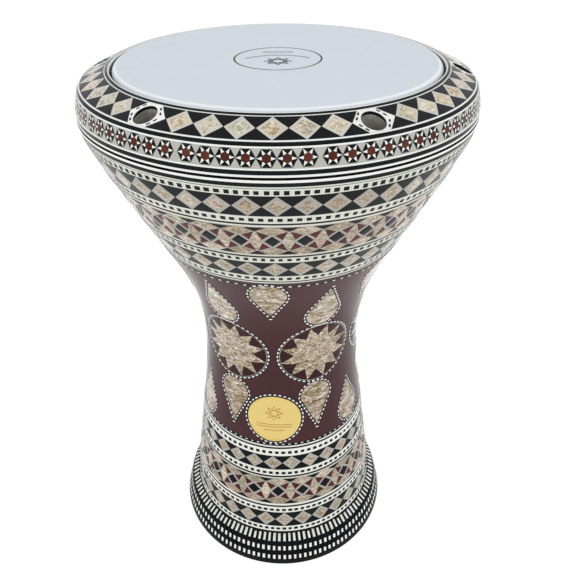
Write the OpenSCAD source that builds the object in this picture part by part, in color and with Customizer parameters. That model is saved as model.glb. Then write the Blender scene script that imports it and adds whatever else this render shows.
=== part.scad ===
// Goblet hand drum (darbuka): inlaid cast shell, film head and a tuning ring drawn down by six bolts.
// Millimetres. The origin is the centre of the foot, on the surface that the drum stands on. +Z is up.
// An azimuth of 0 faces -Y, and azimuths grow towards +X.

/* [Shell] */
// Radius of the foot where it meets the floor
foot_r = 101.8; // [98:0.2:106]
// Height of the shelf that the tuning ring sits above
shelf_z = 412; // [411:0.5:414]
// Thickness of the cast wall under the inlay
wall_t = 5; // [4:0.5:6]
// Thickness of the cast shelf
shelf_t = 10; // [8:0.5:12]
// Outer radius of the neck that carries the head
neck_r = 109.9; // [109.5:0.1:110.2]
// Thickness of the neck
neck_t = 5.9; // [5:0.1:8]

/* [Drumhead] */
// Height of the playing surface
head_z = 440; // [439:0.5:441]
// Thickness of the film
film_t = 0.25; // [0.2:0.05:0.3]
// Radius of the rounded bearing edge
edge_r = 3.3; // [2.5:0.1:4]
// Width of the hoop's section
hoop_w = 4.75; // [4:0.25:5]
// Height of the hoop's section
hoop_h = 6; // [5:0.5:7]

/* [Tuning] */
// Azimuth of the first tuning bolt
bolt_az = 24; // [0:1:59]
// Radius of the circle that the bolts stand on
bolt_circle_r = 123.7; // [123.4:0.1:124]
// Nominal diameter of a bolt's thread
bolt_d = 8; // [6:1:8]
// Diameter of the counterbore round a bolt's head
counterbore_d = 14; // [13.6:0.1:14]
// Height of the seat that a bolt's head bears on
seat_z = 420; // [419.5:0.5:421]
// Length of a bolt under its head
bolt_len = 25; // [23:1:26]

/* [Inlay] */
// Thickness of the inlaid bands
inlay_t = 1.6; // [1.2:0.1:2]
// Radius of a rosette, to the tips of its points
rosette_r = 28.8; // [26:0.2:29]
// Radius of the round end of a leaf
leaf_r = 13; // [11:0.5:13]
// Length of a leaf, from its round end to its tip
leaf_len = 44; // [40:1:45]
// Diameter of the medallion
medallion_d = 47; // [40:1:47]

/* [Hidden] */

$fn = 96;
BOLTS = 6;
CLEAR = 0.05;

BLACK = [0.13, 0.15, 0.17];
CREAM = [0.88, 0.88, 0.82];
PEARL = [0.72, 0.68, 0.62];
GREY = [0.78, 0.79, 0.76];
BURGUNDY = [0.29, 0.15, 0.17];
CAST = [0.66, 0.67, 0.69];

// ---- outline of the goblet ----

// [height, radius] of the finished surface, from the foot to the shelf
PROFILE = [
    [0, foot_r], [12, 98.7], [21, 96], [25, 94.5], [29.9, 88.6], [33, 87.8], [38, 87.2], [56, 85.5],
    [66, 84.2], [100, 79.4], [132, 75.1], [160, 70.9], [187, 67.9],
    [220, 66.6], [253, 69.8], [287, 80.5], [345, 108.6], [380, 125.4], [404, 135.2], [shelf_z, 136.8]
];
LAST = len(PROFILE) - 1;

// Slope of the outline at knot k
function knot_slope(k) =
    let (a = PROFILE[max(k - 1, 0)], b = PROFILE[min(k + 1, LAST)])
    (b[1] - a[1]) / (b[0] - a[0]);

// Span of the outline that holds height z
function span_of(z, k = 0) = (k >= LAST - 1 || z < PROFILE[k + 1][0]) ? k : span_of(z, k + 1);

// Finished radius at height z, as a smooth cubic through the knots
function surface_r(z) =
    let (
        k = span_of(z), p = PROFILE[k], q = PROFILE[k + 1], h = q[0] - p[0], t = (z - p[0]) / h,
        t2 = t * t, t3 = t2 * t
    )
    (2 * t3 - 3 * t2 + 1) * p[1] + (t3 - 2 * t2 + t) * h * knot_slope(k)
    + (3 * t2 - 2 * t3) * q[1] + (t3 - t2) * h * knot_slope(k + 1);

// Heights that divide the inlay, from the foot up
FOOT_EDGE = 4.1;
Z_BLOCKS_LOWER = 13.6;
Z_BLOCKS_UPPER = 25;
Z_BARS = 29.8;
Z_FOOT_DOTS_4 = 38.2;
Z_FOOT_DIAMONDS_2 = 56.5;
Z_FOOT_DOTS_3 = 67.4;
Z_FOOT_STARS = 98.3;
Z_FOOT_DOTS_2 = 108.2;
Z_FOOT_DIAMONDS_1 = 123.8;
Z_FOOT_DOTS_1 = 131.8;
Z_FOOT_LINES = 136;
Z_PANEL = 319;
Z_BOWL_DOTS_4 = 328;
Z_BOWL_DIAMONDS_2 = 343;
Z_BOWL_DOTS_3 = 351.2;
Z_BOWL_STARS = 377.6;
Z_BOWL_DOTS_2 = 386.4;
Z_BOWL_DIAMONDS_1 = 401.7;
Z_BOWL_DOTS_1 = 407.8;
EDGES = [
    FOOT_EDGE, Z_BLOCKS_LOWER, Z_BLOCKS_UPPER, Z_BARS, Z_FOOT_DOTS_4, Z_FOOT_DIAMONDS_2, Z_FOOT_DOTS_3,
    Z_FOOT_STARS, Z_FOOT_DOTS_2, Z_FOOT_DIAMONDS_1, Z_FOOT_DOTS_1, Z_FOOT_LINES, Z_PANEL, Z_BOWL_DOTS_4,
    Z_BOWL_DIAMONDS_2, Z_BOWL_DOTS_3, Z_BOWL_STARS, Z_BOWL_DOTS_2, Z_BOWL_DIAMONDS_1, Z_BOWL_DOTS_1, shelf_z
];
STEP = 13;

// Points of the outline from height a to height b, sunk by depth
function outline(a, b, depth) =
    let (n = ceil((b - a) / STEP))
    [for (i = [0:n]) let (z = a + (b - a) * i / n) [surface_r(z) - depth, z]];

// Points of the whole outline above the foot's edge, sunk by depth
function whole_outline(depth) =
    [for (e = [0:len(EDGES) - 2]) each outline(EDGES[e], EDGES[e + 1], depth)];

function reversed(list) = [for (i = [len(list) - 1:-1:0]) list[i]];

// Ring of inlay between heights a and b, from depth lo to depth hi under the surface
module skin(a, b, lo = 0, hi = inlay_t) {
    rotate_extrude() polygon(concat(outline(a, b, lo), reversed(outline(a, b, hi))));
}

// Places its children on the surface at azimuth az and height z, facing out
module facing_out(az, z) {
    rotate([90, 0, az]) translate([0, z, 0]) children();
}

// ---- shell ----

INNER_DEPTH = inlay_t + wall_t;
NECK_IN = neck_r - neck_t;
EDGE_TOP = head_z - film_t;
ARC_STEPS = 6;
BOSS_R = 9.5;
INSERT_R = 6;
INSERT_H = 12;
TIP_Z = seat_z - bolt_len;
POCKET_R = bolt_d / 2 + 0.6;
POCKET_FLOOR = TIP_Z - 2;
BOSS_FLOOR = POCKET_FLOOR - 3;

// Quarter round over the neck's top outer corner, grown outwards by extra
function edge_arc(extra) =
    [for (i = [0:ARC_STEPS]) let (a = 90 * i / ARC_STEPS)
        [neck_r - edge_r + (edge_r + extra) * cos(a), EDGE_TOP - edge_r + (edge_r + extra) * sin(a)]];

module at_bolts() {
    for (i = [0:BOLTS - 1]) at_bolt(i) children();
}

module at_bolt(i) {
    rotate(bolt_az + i * 360 / BOLTS) translate([0, -bolt_circle_r, 0]) children();
}

module goblet_section() {
    shelf_under = shelf_z - shelf_t;
    inner_wall = [for (p = whole_outline(INNER_DEPTH)) if (p[1] < shelf_under - 2) p];
    chamfer = 3;
    polygon(concat(
        [[surface_r(0), 0]],
        [[surface_r(FOOT_EDGE), FOOT_EDGE]],
        whole_outline(inlay_t),
        [[neck_r, shelf_z]],
        edge_arc(0),
        [[NECK_IN, EDGE_TOP - edge_r]],
        [[NECK_IN, shelf_under + chamfer], [NECK_IN + chamfer, shelf_under]],
        [[surface_r(shelf_under) - INNER_DEPTH, shelf_under]],
        reversed(inner_wall),
        [[surface_r(0) - INNER_DEPTH, 0]]
    ));
}

// Solid that the casting and its bosses stay inside
module casting_envelope() {
    rotate_extrude() polygon(concat(
        [[0, FOOT_EDGE]], whole_outline(inlay_t), [[0, shelf_z]]
    ));
}

module shell() {
    color(CAST) difference() {
        union() {
            rotate_extrude() goblet_section();
            intersection() {
                casting_envelope();
                at_bolts() translate([0, 0, BOSS_FLOOR]) cylinder(r = BOSS_R, h = shelf_z - BOSS_FLOOR);
            }
        }
        at_bolts() {
            translate([0, 0, shelf_z - INSERT_H]) cylinder(r = INSERT_R, h = INSERT_H + 1);
            translate([0, 0, POCKET_FLOOR]) cylinder(r = POCKET_R, h = shelf_z - POCKET_FLOOR);
        }
    }
}

module thread_inserts() {
    color("gainsboro") at_bolts() translate([0, 0, shelf_z - INSERT_H]) difference() {
        cylinder(r = INSERT_R, h = INSERT_H);
        translate([0, 0, -1]) cylinder(r = bolt_d / 2 + CLEAR, h = INSERT_H + 2);
    }
}

// ---- drumhead ----

HOOP_IN = neck_r + film_t;
HOOP_OUT = HOOP_IN + hoop_w;
HOOP_Z = 421;
CRIMP_Z = HOOP_Z + hoop_h / 2;
CRIMP_W = 3;

module drumhead_film() {
    color([0.82, 0.86, 0.89]) rotate_extrude() polygon(concat(
        [[0, EDGE_TOP]], reversed(edge_arc(0)), edge_arc(film_t), [[0, head_z]]
    ));
}

module drumhead_collar() {
    bottom = CRIMP_Z - film_t / 2;
    color([0.8, 0.84, 0.87]) rotate_extrude() polygon([
        [neck_r, bottom], [HOOP_IN + CRIMP_W, bottom], [HOOP_IN + CRIMP_W, bottom + film_t],
        [HOOP_IN, bottom + film_t], [HOOP_IN, EDGE_TOP - edge_r], [neck_r, EDGE_TOP - edge_r]
    ]);
}

module drumhead_hoop() {
    slot = CRIMP_Z - film_t / 2;
    color("lightgrey") rotate_extrude() difference() {
        translate([HOOP_IN, HOOP_Z]) square([hoop_w, hoop_h]);
        translate([HOOP_IN - 1, slot]) square([CRIMP_W + 1, film_t]);
    }
}

// ---- tuning ring ----

// Finished surface of the ring, from its inner lip over the shoulder and down its side
RING_LINE = [
    [112, 439.4], [115.2, 438.3], [131.5, 431.5], [133.1, 430.3], [133.9, 428.2], [136.5, 418.2], [136.6, 413.4]
];
RING_LAST = len(RING_LINE) - 1;
RING_BOTTOM = RING_LINE[RING_LAST][1];
LIP_OUT = 117;
LIP_Z = HOOP_Z + hoop_h + CLEAR;
HOOP_ROOM = 0.4;
SIDE_T = 4.4;
TOP_T = 4;

// Normal of the ring's stretch k, pointing into the casting
function ring_normal(k) =
    let (d = RING_LINE[k + 1] - RING_LINE[k])
    [d[1], -d[0]] / norm(d);

// Point k of the ring's surface, sunk square to it by depth. Its two ends are cut upright and level.
function ring_point(k, depth) =
    let (a = ring_normal(max(k - 1, 0)), b = ring_normal(min(k, RING_LAST - 1)))
    RING_LINE[k] + depth * (k == 0 ? [0, 1 / a[1]] : k == RING_LAST ? [1 / b[0], 0] : (a + b) / (1 + a * b));

module ring_band(first, last) {
    rotate_extrude() polygon(concat(
        [for (k = [first:last]) ring_point(k, 0)],
        [for (k = [last:-1:first]) ring_point(k, inlay_t)]
    ));
}

module ring_section() {
    side_in = RING_LINE[RING_LAST][0] - inlay_t - SIDE_T;
    under_side = ring_point(3, inlay_t + TOP_T);
    under_lip = ring_point(1, inlay_t + TOP_T);
    polygon(concat(
        [[RING_LINE[0][0], LIP_Z]],
        [for (k = [0:RING_LAST]) ring_point(k, inlay_t)],
        [[side_in, RING_BOTTOM], [side_in, under_side[1] - 3], [under_side[0] - 2, under_side[1]]],
        [[LIP_OUT, under_lip[1]], [LIP_OUT, LIP_Z]]
    ));
}

// Solid under the ring's inlay that the bosses stay inside
module ring_envelope() {
    rotate_extrude() polygon(concat(
        [[RING_LINE[0][0], RING_BOTTOM]],
        [for (k = [0:RING_LAST]) ring_point(k, inlay_t)]
    ));
}

module bolt_passages() {
    at_bolts() {
        translate([0, 0, seat_z - CLEAR]) cylinder(d = counterbore_d, h = head_z - seat_z);
        translate([0, 0, RING_BOTTOM - 1]) cylinder(d = bolt_d + 0.8, h = seat_z - RING_BOTTOM + 1);
    }
}

module tuning_ring() {
    color(CAST) difference() {
        union() {
            rotate_extrude() ring_section();
            intersection() {
                ring_envelope();
                at_bolts() translate([0, 0, RING_BOTTOM]) cylinder(r = BOSS_R, h = head_z - RING_BOTTOM);
            }
        }
        bolt_passages();
        translate([0, 0, RING_BOTTOM - 1]) cylinder(r = HOOP_OUT + HOOP_ROOM, h = LIP_Z - RING_BOTTOM + 1);
    }
}

module tuning_bolt(i) {
    head_r = 6.5;
    head_h = 8;
    bevel = 0.6;
    key_af = 6;
    key_depth = 4.6;
    shank_r = bolt_d / 2;
    color([0.35, 0.35, 0.37]) at_bolt(i) translate([0, 0, seat_z]) difference() {
        rotate_extrude() polygon([
            [0, -bolt_len], [shank_r - 1, -bolt_len], [shank_r, 1 - bolt_len], [shank_r, 0], [head_r, 0],
            [head_r, head_h - bevel], [head_r - bevel, head_h], [0, head_h]
        ]);
        translate([0, 0, head_h - key_depth]) cylinder(d = key_af / cos(30), h = key_depth + 1, $fn = 6);
    }
}

module ring_diamonds() {
    color(PEARL) difference() {
        ring_band(1, 2);
        at_bolts() translate([0, 0, seat_z]) cylinder(d = counterbore_d, h = head_z - seat_z);
    }
}

// ---- centre panel ----

ROSETTE_Z = 230.5;
ROSETTE_POINTS = 12;
ROSETTE_INNER = 0.64;
LEAF_STEPS = 10;
LEAF_UP_Z = 262;
LEAF_DOWN_Z = 198;
DROP_TOP_Z = 316;
DROP_FOOT_Z = 139;
MEDALLION_Z = 163.5;
MID_AZ = bolt_az - 30;
PRISM = surface_r(Z_PANEL) + 10;

module star_outline() {
    polygon([for (i = [0:2 * ROSETTE_POINTS - 1])
        let (r = rosette_r * (i % 2 == 0 ? 1 : ROSETTE_INNER), a = (i + 1) * 180 / ROSETTE_POINTS)
        [r * cos(a), r * sin(a)]]);
}

// Leaf with its round end on the origin and its tip along +Y
module leaf_outline() {
    open = acos(leaf_r / (leaf_len - leaf_r));
    polygon(concat(
        [[0, leaf_len]],
        [for (i = [0:LEAF_STEPS]) let (a = 90 + open + (360 - 2 * open) * i / LEAF_STEPS)
            [leaf_r * cos(a), leaf_r + leaf_r * sin(a)]]
    ));
}

module rosette_prisms() {
    for (i = [0:5]) facing_out(bolt_az + 60 * i, ROSETTE_Z) linear_extrude(PRISM) star_outline();
}

module leaf_prisms() {
    for (i = [0:5]) {
        facing_out(bolt_az + 60 * i, LEAF_UP_Z) linear_extrude(PRISM) leaf_outline();
        facing_out(bolt_az + 60 * i, LEAF_DOWN_Z) linear_extrude(PRISM) mirror([0, 1]) leaf_outline();
        facing_out(MID_AZ + 60 * i, DROP_TOP_Z) linear_extrude(PRISM) mirror([0, 1]) leaf_outline();
        if (i > 0) facing_out(MID_AZ + 60 * i, DROP_FOOT_Z) linear_extrude(PRISM) leaf_outline();
    }
}

module medallion_prism() {
    facing_out(MID_AZ, MEDALLION_Z) cylinder(d = medallion_d, h = PRISM);
}

module centre_panel() {
    color(BURGUNDY) difference() {
        skin(Z_FOOT_LINES, Z_PANEL);
        rosette_prisms();
        leaf_prisms();
        medallion_prism();
    }
}

module rosettes() {
    color(PEARL) intersection() {
        skin(Z_FOOT_LINES, Z_PANEL);
        rosette_prisms();
    }
}

module leaves() {
    color(PEARL) intersection() {
        skin(Z_FOOT_LINES, Z_PANEL);
        leaf_prisms();
    }
}

module medallion() {
    proud = 0.5;
    color([0.86, 0.76, 0.45]) intersection() {
        skin(Z_FOOT_LINES, Z_PANEL, -proud, inlay_t);
        medallion_prism();
    }
}

shell();
thread_inserts();
drumhead_film();
drumhead_collar();
drumhead_hoop();
tuning_ring();
tuning_bolt(0);  // tuning_bolt_1
tuning_bolt(1);  // tuning_bolt_2
tuning_bolt(2);  // tuning_bolt_3
tuning_bolt(3);  // tuning_bolt_4
tuning_bolt(4);  // tuning_bolt_5
tuning_bolt(5);  // tuning_bolt_6
color(CREAM) ring_band(0, 1);  // ring_inner_lines
ring_diamonds();
color(BLACK) ring_band(2, 4);  // ring_shoulder_lines
color(GREY) ring_band(4, 5);  // ring_stars
color(BLACK) ring_band(5, 6);  // ring_bottom_lines
color(BLACK) skin(Z_BOWL_DOTS_1, shelf_z);  // rim_lines
color(CREAM) skin(Z_BOWL_DIAMONDS_1, Z_BOWL_DOTS_1);  // bowl_dots_1
color(BLACK) skin(Z_BOWL_DOTS_2, Z_BOWL_DIAMONDS_1);  // bowl_diamonds_1
color(CREAM) skin(Z_BOWL_STARS, Z_BOWL_DOTS_2);  // bowl_dots_2
color(PEARL) skin(Z_BOWL_DOTS_3, Z_BOWL_STARS);  // bowl_stars
color(CREAM) skin(Z_BOWL_DIAMONDS_2, Z_BOWL_DOTS_3);  // bowl_dots_3
color(BLACK) skin(Z_BOWL_DOTS_4, Z_BOWL_DIAMONDS_2);  // bowl_diamonds_2
color(CREAM) skin(Z_PANEL, Z_BOWL_DOTS_4);  // bowl_dots_4
centre_panel();
rosettes();
leaves();
medallion();
color(BLACK) skin(Z_FOOT_DOTS_1, Z_FOOT_LINES);  // foot_lines
color(CREAM) skin(Z_FOOT_DIAMONDS_1, Z_FOOT_DOTS_1);  // foot_dots_1
color(BLACK) skin(Z_FOOT_DOTS_2, Z_FOOT_DIAMONDS_1);  // foot_diamonds_1
color(CREAM) skin(Z_FOOT_STARS, Z_FOOT_DOTS_2);  // foot_dots_2
color(PEARL) skin(Z_FOOT_DOTS_3, Z_FOOT_STARS);  // foot_stars
color(CREAM) skin(Z_FOOT_DIAMONDS_2, Z_FOOT_DOTS_3);  // foot_dots_3
color(BLACK) skin(Z_FOOT_DOTS_4, Z_FOOT_DIAMONDS_2);  // foot_diamonds_2
color(CREAM) skin(Z_BARS, Z_FOOT_DOTS_4);  // foot_dots_4
color(CREAM) skin(Z_BLOCKS_UPPER, Z_BARS);  // foot_bars
color(BLACK) skin(Z_BLOCKS_LOWER, Z_BLOCKS_UPPER);  // foot_blocks_upper
color(BLACK) skin(FOOT_EDGE, Z_BLOCKS_LOWER);  // foot_blocks_lower
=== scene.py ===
import math
import random

import bpy
import numpy as np
from mathutils import Matrix, Vector


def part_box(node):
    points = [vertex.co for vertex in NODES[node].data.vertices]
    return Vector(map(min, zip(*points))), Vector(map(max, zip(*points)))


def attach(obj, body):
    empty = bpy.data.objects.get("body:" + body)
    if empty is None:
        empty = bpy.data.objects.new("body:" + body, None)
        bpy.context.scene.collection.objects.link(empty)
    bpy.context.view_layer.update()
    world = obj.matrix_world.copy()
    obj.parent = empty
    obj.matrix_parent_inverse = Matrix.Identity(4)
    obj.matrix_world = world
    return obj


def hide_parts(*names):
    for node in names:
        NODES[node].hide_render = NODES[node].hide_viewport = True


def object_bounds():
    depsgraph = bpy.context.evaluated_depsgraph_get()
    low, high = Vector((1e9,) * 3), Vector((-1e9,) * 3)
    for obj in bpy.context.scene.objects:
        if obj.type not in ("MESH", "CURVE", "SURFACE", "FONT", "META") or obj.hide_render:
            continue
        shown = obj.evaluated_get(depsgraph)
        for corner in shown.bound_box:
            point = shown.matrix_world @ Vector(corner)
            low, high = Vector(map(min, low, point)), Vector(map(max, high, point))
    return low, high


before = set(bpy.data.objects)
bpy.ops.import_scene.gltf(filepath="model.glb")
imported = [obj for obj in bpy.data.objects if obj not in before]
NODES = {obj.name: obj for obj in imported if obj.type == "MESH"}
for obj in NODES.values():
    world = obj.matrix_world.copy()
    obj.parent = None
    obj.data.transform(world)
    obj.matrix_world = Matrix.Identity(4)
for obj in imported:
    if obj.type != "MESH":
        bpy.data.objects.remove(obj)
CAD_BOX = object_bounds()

# The looks of a goblet drum: a goblet and a tuning ring inlaid in bands, a film head and six bolts.
# Lengths are in millimetres up to the moment that a mesh is made. An azimuth of 0 faces -Y and grows
# towards +X, in degrees. A place on the drum is (azimuth, v), where v runs upwards along the surface.
MM = 0.001
DRAW = random.Random(20)
BODY, RING = "drum_body", "ring"


def low(node):
    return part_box(node)[0].z / MM


def high(node):
    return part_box(node)[1].z / MM


def section(node):
    """(radius, height) of every vertex of a CAD node."""
    co = np.array([v.co for v in NODES[node].data.vertices]) / MM
    return np.column_stack([np.hypot(co[:, 0], co[:, 1]), co[:, 2]])


# ---- the two surfaces that carry inlay ----

KNOT_STEP, KNOT_REACH, TALL_SKIN = 12.0, 5.0, 50.0
FINE_STEP = 0.25
EASED_CORNERS = (1.2, 0.45, 0.2)


class Surface:
    """A surface of revolution walked from the bottom up by v, through fine samples of (v, r, z)."""

    def __init__(self, v, r, z):
        self.v, self.r, self.z = v, r, z
        dr, dz = np.gradient(r, v), np.gradient(z, v)
        size = np.hypot(dr, dz)
        self.nr, self.nz = dz / size, -dr / size

    def radius(self, v):
        return np.interp(v, self.v, self.r)

    def v_at_height(self, z):
        return float(np.interp(z, self.z, self.v))

    def v_at_radius(self, r):
        """Only where the surface narrows upwards, as the ring's top does."""
        return np.interp(-r, -self.r, self.v)

    def place(self, az, v, lift):
        """Points in millimetres at azimuths and heights along the surface, lifted square to it."""
        az = np.radians(az)
        r = np.interp(v, self.v, self.r) + lift * np.interp(v, self.v, self.nr)
        z = np.interp(v, self.v, self.z) + lift * np.interp(v, self.v, self.nz)
        return np.column_stack([r * np.sin(az), -r * np.cos(az), z])


def outer_radius(corners, z):
    """Radius of a skin's outer face at height z, from the many corners near it."""
    near = corners[np.abs(corners[:, 1] - z) < KNOT_REACH] - (0, z)
    # Each fit keeps the corners nearer to the outer face, and the next one is made from those.
    for keep in (lambda off: off > 0, lambda off: np.abs(off) < 0.3, lambda off: np.abs(off) < 0.1):
        fit = np.polyfit(near[:, 1], near[:, 0], 2)
        near = near[keep(near[:, 0] - np.polyval(fit, near[:, 1]))]
    return float(np.polyfit(near[:, 1], near[:, 0], 2)[2])


def body_surface():
    """The goblet's finished outline, as a smooth cubic through points on the outside of the CAD skins."""
    foot = section("shell")
    knots = {0.0: foot[foot[:, 1] < 0.01, 0].max()}
    for node in BODY_SKINS:
        corners = section(node)
        lo, hi = low(node), high(node)
        for z in (lo, hi):
            knots[round(z, 2)] = corners[np.abs(corners[:, 1] - z) < 0.01, 0].max()
        if hi - lo > TALL_SKIN:
            for z in np.linspace(lo, hi, math.ceil((hi - lo) / KNOT_STEP) + 1)[1:-1]:
                knots[round(float(z), 2)] = outer_radius(corners, z)
    zs = np.array(sorted(knots))
    rs = np.array([knots[z] for z in zs])
    # A slope of at most twice the gentler lean beside it keeps the curve from bulging.
    leans = np.diff(rs) / np.diff(zs)
    limit = 2 * np.minimum(np.abs(leans[1:]), np.abs(leans[:-1])) * (leans[1:] * leans[:-1] > 0)
    slopes = np.gradient(rs, zs)
    slopes[1:-1] = np.clip(slopes[1:-1], -limit, limit)
    fine = np.arange(0, zs[-1] + FINE_STEP / 2, FINE_STEP)
    k = np.clip(np.searchsorted(zs, fine, side="right") - 1, 0, len(zs) - 2)
    h = zs[k + 1] - zs[k]
    t = (fine - zs[k]) / h
    r = ((2 * t**3 - 3 * t**2 + 1) * rs[k] + (t**3 - 2 * t**2 + t) * h * slopes[k]
         + (3 * t**2 - 2 * t**3) * rs[k + 1] + (t**3 - t**2) * h * slopes[k + 1])
    return Surface(fine, r, fine)


def ring_surface():
    """The tuning ring's finished outline: the outer edge of its unpierced skins, with corners eased."""
    points = np.vstack([section(n) for n in RING_SKINS if n != "ring_diamonds"]).round(1)
    chain = []
    for p in sorted(set(map(tuple, points)), key=lambda p: (p[0], p[1])):
        if chain and p[0] == chain[-1][0]:
            chain.pop()
        while len(chain) > 1 and (
            (chain[-1][0] - chain[-2][0]) * (p[1] - chain[-2][1])
            - (chain[-1][1] - chain[-2][1]) * (p[0] - chain[-2][0]) >= 0
        ):
            chain.pop()
        chain.append(p)
    line = np.array(chain[::-1])
    for reach in EASED_CORNERS:
        line = eased(line, reach)
    v = np.concatenate([[0], np.cumsum(np.hypot(*np.diff(line, axis=0).T))])
    fine = np.arange(0, v[-1], FINE_STEP)
    fine = np.append(fine, v[-1])
    return Surface(fine, np.interp(fine, v, line[:, 0]), np.interp(fine, v, line[:, 1]))


def eased(line, reach):
    """The same line with every inner corner cut back by up to reach."""
    made = [line[0]]
    for a, b, c in zip(line, line[1:], line[2:]):
        for end in (a, c):
            far = np.linalg.norm(end - b)
            made.append(b + (end - b) / far * min(reach, far / 3))
    return np.array(made + [line[-1]])


BODY_SKINS = [
    "foot_blocks_lower", "foot_blocks_upper", "foot_bars", "foot_dots_4", "foot_diamonds_2", "foot_dots_3",
    "foot_stars", "foot_dots_2", "foot_diamonds_1", "foot_dots_1", "foot_lines", "centre_panel",
    "bowl_dots_4", "bowl_diamonds_2", "bowl_dots_3", "bowl_stars", "bowl_dots_2", "bowl_diamonds_1",
    "bowl_dots_1", "rim_lines",
]
RING_SKINS = ["ring_bottom_lines", "ring_stars", "ring_shoulder_lines", "ring_diamonds", "ring_inner_lines"]
DRUM = body_surface()
RING_FACE = ring_surface()


# ---- meshes ----

TURN_STEPS, WELL_STEPS = 240, 72
SKIN_T, ROOT, CHAMFER = 1.5, -0.4, 0.08
LIFT = 0.12
EDGING_LIFT, CHIP_LIFT = LIFT * 0.7, LIFT * 1.3
SEAM, SEAM_LIFT = 0.1, 0.03


def loft_faces(n, m, top, bottom):
    """Quads between m loops of n points, with a fan to a middle point at the top or the bottom."""
    i = np.arange(n)
    j = (i + 1) % n
    quads = np.concatenate(
        [np.column_stack([k * n + i, k * n + j, (k + 1) * n + j, (k + 1) * n + i]) for k in range(m - 1)]
    )
    tris = []
    if top:
        tris.append(np.column_stack([(m - 1) * n + i, (m - 1) * n + j, np.full(n, m * n)]))
    if bottom:
        tris.append(np.column_stack([j, i, np.full(n, m * n + (1 if top else 0))]))
    return quads, np.concatenate(tris) if tris else np.zeros((0, 3), int)


class Build:
    """One mesh under construction. Each part added to it gets its own tone, from 0 to 1."""

    def __init__(self):
        self.points, self.quads, self.tris, self.tones, self.count = [], [], [], [], 0

    def loft(self, loops, top=None, bottom=None, tone=None, round_trip=False):
        """Joins closed loops of as many points each; top and bottom are the middle points of the caps."""
        n, m = len(loops[0]), len(loops)
        if round_trip:
            loops = loops + [loops[0]]
            m += 1
        quads, tris = loft_faces(n, m, top is not None, bottom is not None)
        caps = [p.reshape(1, 3) for p in (top, bottom) if p is not None]
        points = np.concatenate(loops + caps)
        self.points.append(points)
        self.quads.append(quads + self.count)
        self.tris.append(tris + self.count)
        self.tones.append(np.full(len(points), DRAW.random() if tone is None else tone))
        self.count += len(points)

    def band(self, surface, v0, v1, lift=0.0, depth=SKIN_T, turns=TURN_STEPS):
        """A closed ring of inlay between two heights of a surface, with chamfered edges."""
        steps = max(2, math.ceil((v1 - v0) / 4) + 1)
        vs = np.linspace(v0, v1, steps)
        edge = min(CHAMFER, (v1 - v0) / 4)
        walk = [(v0, -depth), (v0, lift - edge), (v0 + edge, lift)]
        walk += [(v, lift) for v in vs[1:-1]] + [(v1 - edge, lift), (v1, lift - edge), (v1, -depth)]
        walk += [(v, -depth) for v in vs[-2:0:-1]]
        az = np.arange(turns) * 360 / turns
        self.loft([surface.place(az, np.full(turns, v), np.full(turns, d)) for v, d in walk],
                  round_trip=True)

    def tile(self, onto, corners, lift=LIFT, tone=None, root=ROOT):
        """A chamfered tile with its corners on a sheet that is laid onto the drum."""
        rim = split_edges(np.array(corners, float), onto.step)
        mid = rim.mean(0)
        reach = np.hypot(*((rim - mid) * onto.scale).T)
        shrink = 1 - min(0.3, CHAMFER / max(reach.min(), 0.2))
        inner = int(reach.max() // 4)
        steps = [1 - k / (inner + 1) for k in range(1, inner + 1)]
        loops = [onto(mid + (rim - mid) * t, root) for t in steps[::-1]]
        loops += [onto(rim, root), onto(rim, lift - CHAMFER * 0.8), onto(mid + (rim - mid) * shrink, lift)]
        loops += [onto(mid + (rim - mid) * shrink * t, lift) for t in steps]
        self.loft(loops, onto(mid[None], lift), onto(mid[None], root), tone)

    def object(self, name, finish, body, slot, replaces=(), sharp=38):
        """Makes the mesh, gives it its finish and lets it ride on a CAD body."""
        points = np.concatenate(self.points) * MM
        faces = np.concatenate(self.quads).tolist() + np.concatenate(self.tris).tolist()
        mesh = bpy.data.meshes.new(name)
        mesh.from_pydata(points.tolist(), [], faces)
        mesh.attributes.new("tone", "FLOAT", "POINT").data.foreach_set(
            "value", np.concatenate(self.tones).astype(np.float32)
        )
        mesh.validate()
        mesh.shade_smooth()
        mesh.set_sharp_from_angle(angle=math.radians(sharp))
        mesh.materials.append(thinned(finish, name))
        piece = bpy.data.objects.new(name, mesh)
        bpy.context.scene.collection.objects.link(piece)
        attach(piece, body)
        if replaces:
            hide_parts(*replaces)
        return piece


def split_edges(corners, step):
    """The closed outline, anticlockwise, with every edge cut so that it can follow the surface."""
    x, y = corners.T
    if np.sum(x * np.roll(y, -1) - y * np.roll(x, -1)) < 0:
        corners = corners[::-1]
    made = []
    for a, b in zip(corners, np.roll(corners, -1, axis=0)):
        n = max(1, math.ceil(np.max(np.abs(b - a) / step) - 1e-6))
        made.append(a + (b - a) * (np.arange(n) / n)[:, None])
    return np.concatenate(made)


class Wrapped:
    """Lays (azimuth, v) onto a surface."""

    step = np.array([1.6, 5.0])

    def __init__(self, surface, v):
        self.surface = surface
        self.scale = np.array([math.radians(surface.radius(v)), 1.0])

    def __call__(self, points, lift):
        return self.surface.place(points[:, 0], points[:, 1], np.full(len(points), lift))


class Pressed:
    """Presses a flat drawing (across, up) in millimetres straight into the goblet at one azimuth."""

    step = np.array([2.0, 3.0])
    scale = np.array([1.0, 1.0])

    def __init__(self, az, z):
        self.az, self.z = az, z

    def __call__(self, points, lift):
        v = self.z + points[:, 1]
        az = self.az + np.degrees(np.arcsin(points[:, 0] / DRUM.radius(v)))
        return DRUM.place(az, v, np.full(len(points), lift))


# ---- finishes ----

def paint(r, g, b):
    """A screen colour from 0 to 255 as the linear colour that a shader takes."""
    return tuple(c / 12.92 if c <= 0.04045 else ((c + 0.055) / 1.055) ** 2.4
                 for c in (r / 255, g / 255, b / 255)) + (1.0,)


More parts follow.
